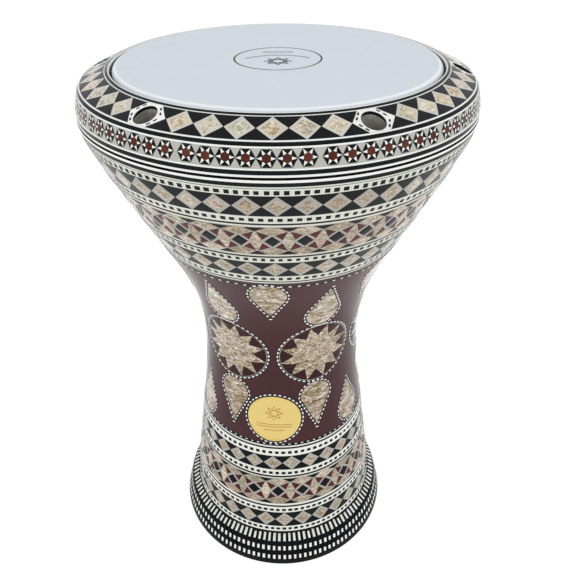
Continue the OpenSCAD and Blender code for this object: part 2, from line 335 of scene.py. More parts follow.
LACQUER_IOR = 1.2
THIN_LACQUER = (  # the foot's lacquer is thinner, and nearly rubbed away at its edge
    (("foot_bars", "foot_blocks"), "_edge", 1.12, 0.4),
    (("foot_",), "_foot", 1.12, 1.0),
)


class Shader:
    """A node tree with a few short ways to write procedural colour."""

    def __init__(self, name, roughness=0.4, metallic=0.0, coat=0.0, coat_roughness=0.03, specular=0.5):
        self.material = bpy.data.materials.new(name)
        self.material.use_nodes = True
        self.tree = self.material.node_tree
        self.bsdf = self.tree.nodes["Principled BSDF"]
        self.set("Roughness", roughness)
        self.set("Metallic", metallic)
        self.set("Coat Weight", coat)
        self.set("Coat Roughness", coat_roughness)
        self.set("Coat IOR", LACQUER_IOR)
        self.set("Specular IOR Level", specular)
        self.coords = self.tree.nodes.new("ShaderNodeTexCoord").outputs["Object"]

    def set(self, socket, value):
        self.bsdf.inputs[socket].default_value = value

    def link(self, socket, value):
        self.tree.links.new(value, self.bsdf.inputs[socket])

    def node(self, kind, inputs=None, **settings):
        made = self.tree.nodes.new(kind)
        for key, value in settings.items():
            setattr(made, key, value)
        for key, value in (inputs or {}).items():
            if isinstance(value, bpy.types.NodeSocket):
                self.tree.links.new(value, made.inputs[key])
            else:
                made.inputs[key].default_value = value
        return made

    def noise(self, scale, detail=4.0, distortion=0.0, coords=None):
        """Noise with about this many grains to the metre."""
        made = self.node("ShaderNodeTexNoise", {
            "Vector": coords or self.coords, "Scale": scale, "Detail": detail, "Distortion": distortion,
        })
        return made.outputs["Fac"]

    def stretched(self, x, y, z):
        made = self.node("ShaderNodeMapping", {"Vector": self.coords, "Scale": (x, y, z)})
        return made.outputs["Vector"]

    def tone(self):
        return self.node("ShaderNodeAttribute", attribute_name="tone").outputs["Fac"]

    def grey(self, colour):
        return self.node("ShaderNodeSeparateColor", {"Color": colour}).outputs["Red"]

    def ramp(self, value, stops):
        made = self.node("ShaderNodeValToRGB", {"Fac": value})
        band = made.color_ramp.elements
        band[0].position, band[0].color = stops[0]
        band[1].position, band[1].color = stops[-1]
        for place, colour in stops[1:-1]:
            band.new(place).color = colour
        return made.outputs["Color"]

    def mix(self, share, a, b, blend="MIX"):
        """Mixes two colours. The node's colour sockets come after those for numbers and vectors."""
        made = self.node("ShaderNodeMix", {0: share, 6: a, 7: b}, data_type="RGBA", blend_type=blend)
        return made.outputs[2]

    def math(self, operation, *values):
        return self.node("ShaderNodeMath", dict(enumerate(values)), operation=operation).outputs[0]

    def bump(self, height, distance, strength=1.0):
        made = self.node("ShaderNodeBump", {"Height": height, "Strength": strength, "Distance": distance})
        self.link("Normal", made.outputs["Normal"])


def lacquered(name, dark, light, grain=140.0, toned=0.5):
    """Plain inlay under clear lacquer, a little uneven from strip to strip and along each strip."""
    s = Shader(name, roughness=0.45, coat=1.0, coat_roughness=0.035, specular=0.0)
    share = s.mix(toned, s.noise(grain, 5.0, 0.6), s.tone())
    colour = s.mix(s.grey(share), dark, light)
    s.link("Base Color", colour)
    return s.material


def pearl(name, grain, hues, chip, wave, flecks):
    """Mother-of-pearl: a tint to each tile, chips of other tints in it, wavy growth lines that also carry
    painted glints and painted shade of the nacre's sheen, and dark flecks.
    """
    s = Shader(name, roughness=0.3, coat=1.0, coat_roughness=0.035, specular=0.25)
    last = len(hues) - 1
    tile_hue = s.ramp(s.tone(), [(k / last, c) for k, c in enumerate(hues)])
    bend = s.noise(grain * 0.7, 3.0, 1.5)
    drawn = s.stretched(0.7, 0.7, 1.8)
    patches = s.ramp(s.noise(grain, 3.0, 1.2, drawn),
                     [(0.34, OLIVE), (0.43, TAN), (0.5, hues[0]), (0.56, ROSE), (0.66, hues[last])])
    colour = s.mix(chip, tile_hue, patches)
    # Growth lines, partly real pattern and partly painted sheen: an overlay from painted shade (SHADE) up to
    # painted glints (GLINT).
    growth_and_glints = s.ramp(s.noise(grain * 2.2, 3.0, 2.5, drawn), [(0.37, SHADE), (0.5, MIDDLE), (0.63, GLINT)])
    colour = s.mix(wave, colour, growth_and_glints, "OVERLAY")
    dots = s.ramp(s.noise(grain * 4.5, 2.0), [(0.32, (1.0,) * 4), (0.42, (0.0, 0.0, 0.0, 1.0))])
    colour = s.mix(s.math("MULTIPLY", s.grey(dots), flecks), colour, UMBER)
    s.link("Base Color", colour)
    s.bump(bend, 0.0003, 0.35)
    return s.material


def metal(name, dark, light, roughness, grain=400.0, bump=0.0, metallic=1.0):
    """Bare metal between two shades, grained, and rough to the touch where it has a bump."""
    s = Shader(name, roughness=roughness, metallic=metallic)
    grains = s.noise(grain, 6.0)
    s.link("Base Color", s.mix(grains, dark, light))
    if bump:
        s.bump(grains, bump)
    return s


def thinned(finish, piece):
    """The finish as it is on a piece of that name: the same, or with less lacquer where it wears."""
    for names, tag, ior, coat in THIN_LACQUER:
        if piece.startswith(names):
            made = bpy.data.materials.get(finish.name + tag)
            if made is None:
                made = finish.copy()
                made.name = finish.name + tag
                sockets = made.node_tree.nodes["Principled BSDF"].inputs
                sockets["Coat IOR"].default_value, sockets["Coat Weight"].default_value = ior, coat
            return made
    return finish


INK = lacquered("ink", paint(8, 10, 12), paint(24, 27, 30))
CREAM = lacquered("cream", paint(200, 201, 188), paint(226, 227, 216))
BONE = lacquered("bone", paint(220, 221, 211), paint(240, 241, 233))
WHITE = lacquered("white", paint(226, 227, 221), paint(243, 243, 239))
STRIP = lacquered("strip", paint(158, 156, 147), paint(180, 177, 168))
PALE_STRIP = lacquered("pale_strip", paint(194, 192, 180), paint(214, 211, 200))
MAROON = lacquered("maroon", paint(64, 24, 26), paint(96, 42, 42))
DEEP = lacquered("deep", paint(38, 18, 20), paint(62, 28, 29), toned=0.2)
BROWN = lacquered("brown", paint(46, 18, 12), paint(112, 56, 42), grain=600.0, toned=0.35)
GROUND = lacquered("ground", paint(170, 170, 160), paint(192, 191, 182))
PANEL = lacquered("panel", paint(66, 37, 40), paint(74, 43, 46), grain=14.0, toned=0.0)
OLIVE, TAN, ROSE = paint(78, 74, 50), paint(142, 118, 84), paint(190, 164, 154)
# SHADE and GLINT are the painted shade and the painted glints of the pearl's sheen.
SHADE, MIDDLE, GLINT, UMBER = paint(92, 84, 66), paint(188, 188, 188), paint(250, 246, 236), paint(62, 48, 30)
HUES = [paint(164, 158, 136), paint(146, 124, 90), paint(184, 166, 154), paint(150, 154, 132),
        paint(132, 112, 80), paint(222, 217, 202)]
PEARL = pearl("pearl", 230.0, HUES, 0.45, 0.8, 0.35)
PALE_HUES = [paint(214, 208, 190), paint(204, 178, 136), paint(220, 198, 186), paint(192, 200, 178),
             paint(216, 196, 156), paint(234, 230, 218)]
PALE_PEARL = pearl("pale_pearl", 280.0, PALE_HUES, 0.45, 0.5, 0.2)
STAR_PEARL = pearl("star_pearl", 290.0, HUES, 0.95, 1.0, 0.8)
LEAF_PEARL = pearl("leaf_pearl", 150.0, HUES, 0.85, 0.85, 0.35)


# ---- bands of the body ----

def lozenge(az, v, half_az, half_v):
    return [(az - half_az, v), (az, v - half_v), (az + half_az, v), (az, v + half_v)]


def block(az, v, half_az, half_v):
    return [(az - half_az, v - half_v), (az + half_az, v - half_v),
            (az + half_az, v + half_v), (az - half_az, v + half_v)]


def uneven(size, share=0.06):
    return size * (1 + share * (2 * DRAW.random() - 1))


def wander(width):
    return width * (DRAW.random() - 0.5)


def span(node, surface):
    """A band's lower and upper v. A sloping skin's own box reaches lower than its outer face does."""
    if surface is DRUM:
        return low(node), high(node)
    below = RING_SKINS.index(node) - 1
    return (surface.v_at_height(high(RING_SKINS[below])) if below >= 0 else 0.0,
            surface.v_at_height(high(node)))


def base(node, finish, slot, surface=DRUM, body=BODY):
    """The band itself, which stands for the CAD skin. Returns its lower and upper v."""
    v0, v1 = span(node, surface)
    build = Build()
    build.band(surface, v0, v1)
    build.object(node + "_band", finish, body, slot, [node])
    return v0, v1


def lines(node, kind, finish, slot, spans, surface=DRUM, body=BODY):
    """Thin strips let into a band, each from one v to another."""
    build = Build()
    for v0, v1 in spans:
        build.band(surface, v0, v1, LIFT, 0.4)
    return build.object(f"{node}_{kind}", finish, body, slot)


def dots(node, count, v, half_az, half_v, finish=INK, slot="inlay_black", first=0.0, name="dots"):
    """A row of little blocks let into a band. Dots also have a fine seam midway between two of them."""
    build, seams, onto = Build(), Build(), Wrapped(DRUM, v)
    for k in range(count):
        az = first + 360 * k / count + wander(0.15)
        build.tile(onto, block(az, v, uneven(half_az, 0.1), uneven(half_v, 0.08)))
        if name == "dots":
            seams.tile(onto, block(az + 180 / count, v, SEAM / onto.scale[0], half_v), SEAM_LIFT)
    if name == "dots":
        seams.object(node + "_seams", STRIP, BODY, "inlay_cream")
    return build.object(f"{node}_{name}", finish, BODY, slot)


CHIP_SHARE = 0.64


def diamonds(node, count, first):
    """Pearl lozenges with pale edging on a black band, tip to tip."""
    v0, v1 = base(node, INK, "inlay_black")
    v, half_v, half_az = (v0 + v1) / 2, (v1 - v0) / 2 - 0.15, 180 / count * 0.985
    onto = Wrapped(DRUM, v)
    edging, chips = Build(), Build()
    for k in range(count):
        az = first + 360 * k / count + wander(0.12)
        edging.tile(onto, lozenge(az, v, half_az, half_v), EDGING_LIFT)
        share = uneven(CHIP_SHARE, 0.05)
        chips.tile(onto, lozenge(az, v + wander(0.2), half_az * share, half_v * share), CHIP_LIFT)
    edging.object(node + "_edging", STRIP, BODY, "inlay_cream")
    chips.object(node + "_pearl", PEARL, BODY, "inlay_pearl")


def stars(node, count, first, v0, v1):
    """The wide band: black and pearl lozenges with pearl, black and maroon pieces between, edged in grey.

    A shape here is in shares of half a repeat across and half the band's height up.
    """
    base(node, STRIP, "inlay_cream")
    v, up, half = (v0 + v1) / 2, (v1 - v0) / 2, 180 / count
    onto = Wrapped(DRUM, v)
    dark, chips, red = Build(), Build(), Build()

    def at(az, shape):
        return [(az + half * x, v + up * y) for x, y in shape]

    for k in range(count):
        az = first + 360 * k / count
        dark.tile(onto, lozenge(az, v, half * uneven(0.52), up * uneven(0.385)))
        chips.tile(onto, lozenge(az + half, v, half * uneven(0.41), up * uneven(0.7, 0.03)))
        for side in (1, -1):
            chips.tile(onto, at(az, [(-0.86, side * 0.73), (0, side * 0.47), (0.86, side * 0.73),
                                     (0.38, side * 0.98), (-0.38, side * 0.98)]))
            dark.tile(onto, at(az + half, [(-0.62, side * 0.98), (0, side * 0.71), (0.62, side * 0.98)]))
            for hand in (1, -1):
                red.tile(onto, at(az, [(hand * 0.93, side * 0.7), (hand * 0.17, side * 0.44),
                                       (hand * 0.62, side * 0.12)]))
    dark.object(node + "_black", INK, BODY, "inlay_black")
    chips.object(node + "_pearl", PEARL, BODY, "inlay_pearl")
    red.object(node + "_maroon", MAROON, BODY, "panel_burgundy")


# The bands from the rim down. A row of dots or blocks has its count, the v of its middle, and half
# the azimuth and half the height of one of them. Diamonds and stars have their count and first azimuth.
top = high("rim_lines")
base("rim_lines", INK, "inlay_black")
lines("rim_lines", "white", WHITE, "inlay_cream", [(top - 1.7, top - 0.1)])

lo, hi = base("bowl_dots_1", CREAM, "inlay_cream")
lines("bowl_dots_1", "joint", INK, "inlay_black", [(hi - 1.25, hi - 0.95)])
dots("bowl_dots_1", 156, lo + 2.25, 0.66, 1.32, first=-0.7)

diamonds("bowl_diamonds_1", 49, -0.7)

lo, hi = base("bowl_dots_2", CREAM, "inlay_cream")
dots("bowl_dots_2", 146, hi - 2.95, 0.67, 1.22)
lines("bowl_dots_2", "black", INK, "inlay_black", [(lo + 1.5, lo + 2.9)])

lo, hi = low("bowl_stars"), high("bowl_stars")
stars("bowl_stars", 38, -2.3, lo + 0.5, hi - 0.3)

lo, hi = base("bowl_dots_3", CREAM, "inlay_cream")
lines("bowl_dots_3", "black", INK, "inlay_black", [(hi - 2.7, hi - 1.2)])
dots("bowl_dots_3", 127, lo + 3.0, 0.72, 1.25)

diamonds("bowl_diamonds_2", 39, -1.9)

lo, hi = base("bowl_dots_4", CREAM, "inlay_cream")
dots("bowl_dots_4", 111, lo + 6.0, 0.85, 1.25)
lines("bowl_dots_4", "black", INK, "inlay_black", [(lo, lo + 0.5), (lo + 2.0, lo + 3.0)])

base("foot_lines", INK, "inlay_black")
lo = low("foot_lines")
lines("foot_lines", "white", WHITE, "inlay_cream", [(lo + 1.9, lo + 3.4)])

lo, hi = base("foot_dots_1", BONE, "inlay_cream")
dots("foot_dots_1", 84, lo + 3.9, 1.2, 1.4)

diamonds("foot_diamonds_1", 29, 5.5)

lo, hi = base("foot_dots_2", BONE, "inlay_cream")
dots("foot_dots_2", 87, lo + 6.0, 1.2, 1.4)
lines("foot_dots_2", "black", INK, "inlay_black", [(lo + 1.0, lo + 2.9)])

lo, hi = low("foot_stars"), high("foot_stars")
stars("foot_stars", 23, -3.6, lo + 0.3, hi - 0.4)

lo, hi = base("foot_dots_3", BONE, "inlay_cream")
dots("foot_dots_3", 94, lo + 3.2, 1.18, 1.4)
lines("foot_dots_3", "black", INK, "inlay_black", [(hi - 3.9, hi - 2.0)])

diamonds("foot_diamonds_2", 31, 0.2)

lo, hi = base("foot_dots_4", BONE, "inlay_cream")
dots("foot_dots_4", 99, hi - 3.2, 1.12, 1.4)
lines("foot_dots_4", "black", INK, "inlay_black", [(lo, lo + 2.0)])

lo, hi = base("foot_bars", INK, "inlay_black")
dots("foot_bars", 123, (lo + hi) / 2 - 0.1, 0.68, (hi - lo) / 2 - 0.2, BONE, "inlay_cream", name="bars")

lo, hi = base("foot_blocks_upper", INK, "inlay_black")
dots("foot_blocks_upper", 122, lo + 4.3, 0.66, 2.35, WHITE, "inlay_cream", name="blocks")

lo, hi = base("foot_blocks_lower", INK, "inlay_black")
dots("foot_blocks_lower", 126, lo + 3.7, 0.64, 2.3, WHITE, "inlay_cream", name="blocks")


# ---- centre panel ----

ROPE_W, ROPE_GAP = 2.2, 1.5
DASH_LEN, DASH_W, DASH_PITCH, DASH_TIP, DASH_LIFT = 2.7, 1.1, 4.2, 0.35, 0.06
RIBBON_STEP, LOOK = 1.4, 0.4
LEAF_STEPS = 40
# Each kind of edging lies a little higher than the last, so that they stay clean where they cross.
ROSETTE_ROPE, LEAF_ROPE, PLATE_ROPE = 0.14, 0.17, 0.2
FIELD_GAP, FIELD_LIFT, ARC_GAP, ARC_HALF = 0.4, 0.06, 0.35, 0.25
MID_AZ = -6.0
FIRST_AZ = 24.0


def around(points, pitch):
    """Evenly spaced places along a closed line, each with the way that the line runs there."""
    loop = np.vstack([points, points[:1]])
    run = np.concatenate([[0], np.cumsum(np.hypot(*np.diff(loop, axis=0).T))])
    count = max(3, round(run[-1] / pitch))
    at = np.arange(count) * run[-1] / count
    spot = np.column_stack([np.interp(at, run, loop[:, 0]), np.interp(at, run, loop[:, 1])])
    ahead = np.column_stack([np.interp((at + LOOK) % run[-1], run, loop[:, i]) for i in (0, 1)])
    behind = np.column_stack([np.interp((at - LOOK) % run[-1], run, loop[:, i]) for i in (0, 1)])
    way = ahead - behind
    return spot, way / np.hypot(*way.T)[:, None]


def ribbon(build, onto, points, half, lift):
    """A flat strip of even width along a closed line."""
    spot, way = around(points, RIBBON_STEP)
    side = np.column_stack([way[:, 1], -way[:, 0]])
    loops = [onto(spot + side * d, h) for d, h in
             ((half, ROOT), (half, lift - CHAMFER), (half - CHAMFER, lift), (CHAMFER - half, lift),
              (-half, lift - CHAMFER), (-half, ROOT))]
    build.loft(loops, round_trip=True)


def rope(build, dashes, onto, points, lift):
    """Black edging with white dashes let into it."""
    ribbon(build, onto, points, ROPE_W / 2, lift)
    spot, way = around(points, DASH_PITCH)
    for p, w in zip(spot, way):
        side = np.array([w[1], -w[0]])
        half, wide = uneven(DASH_LEN / 2, 0.1), DASH_W / 2
        body = half - DASH_TIP
        shape = [(-half, 0.0), (-body, wide), (body, wide), (half, 0.0), (body, -wide), (-body, -wide)]
        dashes.tile(onto, [p + w * a + side * b for a, b in shape], lift + DASH_LIFT)


def circle(radius, steps=96):
    a = np.radians(np.arange(steps) * 360 / steps)
    return np.column_stack([radius * np.cos(a), radius * np.sin(a)])


def leaf(radius, length, way=1):
    """A drop with its round end at the origin and its tip up, or down if way is -1."""
    mouth = math.degrees(math.acos(radius / (length - radius)))
    a = np.radians(np.linspace(90 + mouth, 450 - mouth, LEAF_STEPS))
    points = np.vstack([[(0.0, length)], np.column_stack([radius * np.cos(a), radius + radius * np.sin(a)])])
    return points * (1, way)


def grown_leaf(radius, length, gap, way=1):
    """The same drop, larger by gap all round."""
    sharp = radius / (length - radius)
    made = leaf(radius + gap, length + gap + gap / sharp, way)
    return made - (0, gap * way)


def half_height(node):
    return (high(node) - low(node)) / 2


lo, hi = base("centre_panel", PANEL, "panel_burgundy")
POINTS, NOTCH = 12, 0.64
ROSETTE_Z = low("rosettes") + half_height("rosettes")
ROSETTE_R = half_height("rosettes") / math.cos(math.pi / POINTS)
LEAF_R = 13.0
DROP_TOP, DROP_FOOT = high("leaves"), low("leaves")
LEAF_UP, LEAF_DOWN = ROSETTE_Z + 31.5, ROSETTE_Z - 32.5
UP_LEN, DOWN_LEN, TOP_LEN, FOOT_LEN = 42.0, 44.5, 39.0, 42.0
star_shape = []
for k in range(2 * POINTS):
    a = math.radians((k + 1) * 180 / POINTS)
    reach = ROSETTE_R * (NOTCH if k % 2 else 1.0)
    star_shape.append((reach * math.cos(a), reach * math.sin(a)))

black, white, deep, arcs, star, leaves = (Build() for _ in range(6))
for k in range(6):
    az = FIRST_AZ + 60 * k
    onto = Pressed(az, ROSETTE_Z)
    deep.tile(onto, circle(ROSETTE_R + FIELD_GAP), FIELD_LIFT)
    ribbon(arcs, onto, circle(ROSETTE_R + ARC_GAP), ARC_HALF, LIFT)
    star.tile(onto, star_shape, LIFT)
    rope(black, white, onto, circle(ROSETTE_R + ROPE_GAP + 0.2), ROSETTE_ROPE)
    mid = MID_AZ + 60 * k
    drops = [(az, LEAF_UP, 1, UP_LEN), (az, LEAF_DOWN, -1, DOWN_LEN), (mid, DROP_TOP, -1, TOP_LEN)]
    if k:  # the medallion takes the first one's place
        drops.append((mid, DROP_FOOT, 1, FOOT_LEN))
    for place, z, way, length in drops:
        onto = Pressed(place, z)
        leaves.tile(onto, leaf(LEAF_R, length, way), LIFT)
        rope(black, white, onto, grown_leaf(LEAF_R, length, ROPE_GAP, way), LEAF_ROPE)

UPPER_DASHES, LOWER_DASHES, BORDER_HALF_AZ, BORDER_HALF_V = 96, 85, 0.62, 0.5
MEDAL_R = half_height("medallion")
MEDAL_Z = low("medallion") + MEDAL_R + 0.6
PLATE_WIDTH, PLATE_TAPER = 0.955, 0.03


def plate_line(radius):
    """The medallion's outline, a little wider at the bottom to make up for the flare it lies on."""
    points = circle(radius)
    wide = PLATE_WIDTH - PLATE_TAPER * points[:, 1] / radius
    return points * np.column_stack([wide, np.ones(len(points))])


onto = Pressed(MID_AZ, MEDAL_Z)
rope(black, white, onto, plate_line(MEDAL_R + ROPE_GAP + 0.4), PLATE_ROPE)
lines("centre_panel", "border", INK, "inlay_black", [(hi - 4.6, hi - 2.6), (lo + 0.1, lo + 2.2)])
for count, v in ((UPPER_DASHES, hi - 3.6), (LOWER_DASHES, lo + 1.15)):
    for k in range(count):
        half_az = uneven(BORDER_HALF_AZ * UPPER_DASHES / count, 0.1)
        white.tile(Wrapped(DRUM, v), block(360 * k / count, v, half_az, BORDER_HALF_V), LIFT + DASH_LIFT)
black.object("centre_panel_edging", INK, BODY, "inlay_black")
white.object("centre_panel_dashes", WHITE, BODY, "inlay_cream")
deep.object("rosettes_ground", DEEP, BODY, "panel_burgundy")
arcs.object("rosettes_arcs", STRIP, BODY, "inlay_cream")
star.object("rosettes_pearl", STAR_PEARL, BODY, "inlay_pearl", ["rosettes"])
leaves.object("leaves_pearl", LEAF_PEARL, BODY, "inlay_pearl", ["leaves"])


def bar(a, b, half):
    """The corners of a straight bar from a to b."""
    a, b = np.array(a, float), np.array(b, float)
    along = (b - a) / np.linalg.norm(b - a)
    side = np.array([-along[1], along[0]]) * half
    return [a + side, b + side, b - side, a - side]


def star_bars(radius, up, half):
    """The bars of an eight-pointed star, each from one point to the third one on."""
    def point(degrees):
        a = math.radians(degrees)
        return radius * math.cos(a), up + radius * math.sin(a)

    return [bar(point(45 * k), point(45 * k + 135), half) for k in range(8)]


# A gold plate with a rim, a plain stamped star and three bars
PROUD, STAMP, STAMP_HALF = 0.45, 0.22, 0.25
STAMP_STAR_R, STAMP_STAR_UP = 7.5, 6
plate, relief = Build(), Build()
plate.tile(onto, plate_line(MEDAL_R), PROUD, root=-1.0)
ribbon(plate, onto, plate_line(MEDAL_R - 0.7), 0.4, PROUD + STAMP / 2)
for corners in star_bars(STAMP_STAR_R, STAMP_STAR_UP, STAMP_HALF):
    relief.tile(onto, corners, PROUD + STAMP, root=0.0)
for up, half in ((-6.0, 15.0), (-8.5, 15.0), (-12.0, 9.0)):
    relief.tile(onto, block(0.0, up, half, STAMP_HALF), PROUD + STAMP, root=0.0)
GOLD = metal("gold", paint(214, 188, 112), paint(230, 208, 136), 0.4, 900.0)
STAMPED = metal("stamped_gold", paint(186, 154, 84), paint(210, 180, 108), 0.45, 900.0)
plate.object("medallion_plate", GOLD.material, BODY, "medallion_gold", ["medallion"])
relief.object("medallion_relief", STAMPED.material, BODY, "medallion_gold")


# ---- tuning ring ----

BOLTS = [f"tuning_bolt_{i + 1}" for i in range(6)]
SPAN = 360 / len(BOLTS)


def bolt_axis(node):
    a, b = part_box(node)
    return (a.x + b.x) / 2 / MM, (a.y + b.y) / 2 / MM


AXIS_X, AXIS_Y = bolt_axis("tuning_bolt_1")
CIRCLE_R = math.hypot(AXIS_X, AXIS_Y)
BOLT_AZ = math.degrees(math.atan2(AXIS_X, -AXIS_Y))
WELL, WELL_GAP, DRILL_REACH = 7.0, 0.02, 5

lo, hi = base("ring_inner_lines", WHITE, "inlay_cream", RING_FACE, RING)
lines("ring_inner_lines", "black", INK, "inlay_black", [(hi - 2.6, hi - 0.7)], RING_FACE, RING)

v0, v1 = span("ring_diamonds", RING_FACE)


def well_edge(az, radius):
    """The outline of a bolt's well where it comes out of the ring's sloping top."""
    across, inward = circle(radius, WELL_STEPS).T
    out = CIRCLE_R - inward
    v = RING_FACE.v_at_radius(np.hypot(across, out))
    return np.column_stack([az + np.degrees(np.arctan2(across, out)), v])


def with_hole(build, onto, az, outer, lift):
    """A tile with the bolt's well through it."""
    hole = well_edge(az, WELL + WELL_GAP)
    rim = split_edges(np.array(outer, float), onto.step / 4)
    mid = hole.mean(0)
    turn = np.arctan2((rim[:, 1] - mid[1]), (rim[:, 0] - mid[0]) * onto.scale[0])
    want = np.arctan2((hole[:, 1] - mid[1]), (hole[:, 0] - mid[0]) * onto.scale[0])
    near = [np.argmin(np.abs(np.angle(np.exp(1j * (turn - w))))) for w in want]
    rim = rim[near]
    loops = [onto(rim, ROOT), onto(rim, lift)]
    loops += [onto(rim + (hole - rim) * t, lift) for t in (0.33, 0.67, 1.0)]
    loops.append(onto(hole, ROOT))
    build.loft(loops, round_trip=True)


ground = Build()
ground.band(RING_FACE, v0, v1, turns=360)
ring_ground = ground.object("ring_diamonds_band", INK, RING, "inlay_black", ["ring_diamonds"])
cutter = Build()
for k in range(6):
    az = math.radians(BOLT_AZ + SPAN * k)
    x, y = CIRCLE_R * math.sin(az), -CIRCLE_R * math.cos(az)
    disc = circle(WELL, WELL_STEPS) + (x, y)
    zs = (low("ring_diamonds") - DRILL_REACH, high("ring_diamonds") + DRILL_REACH)
    cutter.loft([np.column_stack([disc, np.full(WELL_STEPS, z)]) for z in zs],
                np.array([x, y, zs[1]]), np.array([x, y, zs[0]]))
drill = cutter.object("drill", INK, RING, "inlay_black")
cut = ring_ground.modifiers.new("wells", "BOOLEAN")
cut.object, cut.operation, cut.solver = drill, "DIFFERENCE", "EXACT"
bpy.context.view_layer.update()
drilled = bpy.data.meshes.new_from_object(ring_ground.evaluated_get(bpy.context.evaluated_depsgraph_get()))
ring_ground.modifiers.clear()
ring_ground.data = drilled
bpy.data.objects.remove(drill)

mid_v, half_v = (v0 + v1) / 2, (v1 - v0) / 2
PITCH, FIRST_DIAMOND, RING_CHIP_SHARE = 7.92, 10.65, 0.74
GUARD_LEFT, GUARD_RIGHT, GUARD_FLAT, GUARD_EDGE, GUARD_LIFT = 5.8, 6.5, 2.8, 0.1, LIFT * 0.8
MARK_AZ, MARK_V, MARK_RUN, MARK_RISE = 4.55, 0.12, 2.1, 0.8
MARK_HALF, MARK_HALF_W, MARK_LIFT = 1.15, 0.55, LIFT * 1.4
onto = Wrapped(RING_FACE, mid_v)
edging, chips, guard, marks = (Build() for _ in range(4))


def mark_side(az, hand, side):
    """Two black strokes along one slanting side of the white guard around a bolt."""
    way = np.array([-hand * MARK_RUN, side * half_v * MARK_RISE])
    way = way / np.hypot(way[0] * onto.scale[0], way[1])
    across = np.array([way[1] / onto.scale[0], -way[0] * onto.scale[0]])
    for t in (0.22, 0.72):
        here = np.array([az + hand * (MARK_AZ - MARK_RUN * t),
                         mid_v + side * half_v * (MARK_V + MARK_RISE * t)])
        marks.tile(onto, [here + way * a * uneven(MARK_HALF, 0.2) + across * b * MARK_HALF_W
                          for a, b in ((-1, -1), (1, -1), (1, 1), (-1, 1))], MARK_LIFT)


for k in range(6):
    az = BOLT_AZ + SPAN * k
    foot, top = v0 + GUARD_EDGE, v1 - GUARD_EDGE
    with_hole(guard, onto, az, [
        (az - GUARD_LEFT, mid_v), (az - GUARD_FLAT, foot), (az + GUARD_FLAT, foot),
        (az + GUARD_RIGHT, mid_v), (az + GUARD_FLAT, top), (az - GUARD_FLAT, top)], GUARD_LIFT)
    for hand in (1, -1):
        for side in (1, -1):
            mark_side(az, hand, side)
    for j in range(6):
        here = az + FIRST_DIAMOND + PITCH * j + wander(0.1)
        edging.tile(onto, lozenge(here, mid_v, PITCH / 2 * 0.985, half_v - 0.1), EDGING_LIFT)
        share = uneven(RING_CHIP_SHARE, 0.08)
        shape = lozenge(here, mid_v + wander(0.3), PITCH / 2 * share, half_v * share)
        chips.tile(onto, shape, CHIP_LIFT)
edging.object("ring_diamonds_edging", PALE_STRIP, RING, "inlay_cream")
chips.object("ring_diamonds_pearl", PALE_PEARL, RING, "inlay_pearl")
guard.object("ring_diamonds_guards", WHITE, RING, "inlay_cream")
marks.object("ring_diamonds_marks", INK, RING, "inlay_black")

lo, hi = base("ring_shoulder_lines", INK, "inlay_black", RING_FACE, RING)
strips = [(lo, lo + 0.95), (hi - 1.05, hi)]
lines("ring_shoulder_lines", "white", WHITE, "inlay_cream", strips, RING_FACE, RING)

lo, hi = base("ring_stars", GROUND, "inlay_cream", RING_FACE, RING)
STAR_STRIPS, STRIP_STARS, STAR_PITCH, STAR_FIRST = 11, 7, 4.55, -21.0
STAR_R, HEART_R, POINT_HALF = 5.45, 2.6, 21
HEX_LIFT, HEART_LIFT, POINT_LIFT = LIFT * 0.6, LIFT * 1.1, LIFT * 1.2
v = (lo + 0.4 + hi) / 2
onto = Wrapped(RING_FACE, v)
hexes, points, hearts = Build(), Build(), Build()


def spoke(az, v, radius, degrees):
    """The end of a line of this length drawn from (az, v) in this direction."""
    a = math.radians(degrees)
    return (az + radius * math.cos(a) / onto.scale[0], v + radius * math.sin(a))


for strip in range(STAR_STRIPS):
    for j in range(STRIP_STARS):
        az = STAR_FIRST + 360 / STAR_STRIPS * strip + STAR_PITCH * j
        here = v + wander(0.3)
        hexes.tile(onto, [spoke(az, here, STAR_R, 60 * k) for k in range(6)], HEX_LIFT)
        hearts.tile(onto, [spoke(az, here, HEART_R, 60 * k + 30) for k in range(6)], HEART_LIFT)
        for k in range(6):
            points.tile(onto, [spoke(az, here, HEART_R * 0.97, 60 * k - POINT_HALF),
                               spoke(az, here, STAR_R * 0.95, 60 * k),
                               spoke(az, here, HEART_R * 0.97, 60 * k + POINT_HALF)], POINT_LIFT)
hexes.object("ring_stars_black", INK, RING, "inlay_black")
points.object("ring_stars_points", WHITE, RING, "inlay_cream")
hearts.object("ring_stars_hearts", BROWN, RING, "panel_burgundy")

lo, hi = base("ring_bottom_lines", INK, "inlay_black", RING_FACE, RING)
lines("ring_bottom_lines", "white", WHITE, "inlay_cream", [(lo, lo + 1.3), (hi - 1.0, hi)], RING_FACE, RING)


# ---- drumhead ----

def lathe(build, profile, top, bottom):
    """Turns a line of (radius, height) about the drum's axis, with a fan at either end."""
    a = np.radians(np.arange(TURN_STEPS) * 360 / TURN_STEPS)
    loops = [np.column_stack([r * np.sin(a), -r * np.cos(a), np.full(TURN_STEPS, z)]) for r, z in profile]
    build.loft(loops, top, bottom)


film_lo, film_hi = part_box("drumhead_film")
HEAD_R, HEAD_Z = film_hi.x / MM, film_hi.z / MM
EDGE_R = (film_hi.z - film_lo.z) / MM
FILM_T = 0.25
FLAT_RINGS, FLAT_MIDDLE = 12, 4
QUARTER = np.radians(np.arange(0, 91, 7.5))


def bent_edge(radius, angles):
    """The film's profile where it bends down over the rim."""
    return [(HEAD_R - EDGE_R + radius * math.cos(a), HEAD_Z - EDGE_R + radius * math.sin(a))
            for a in angles]


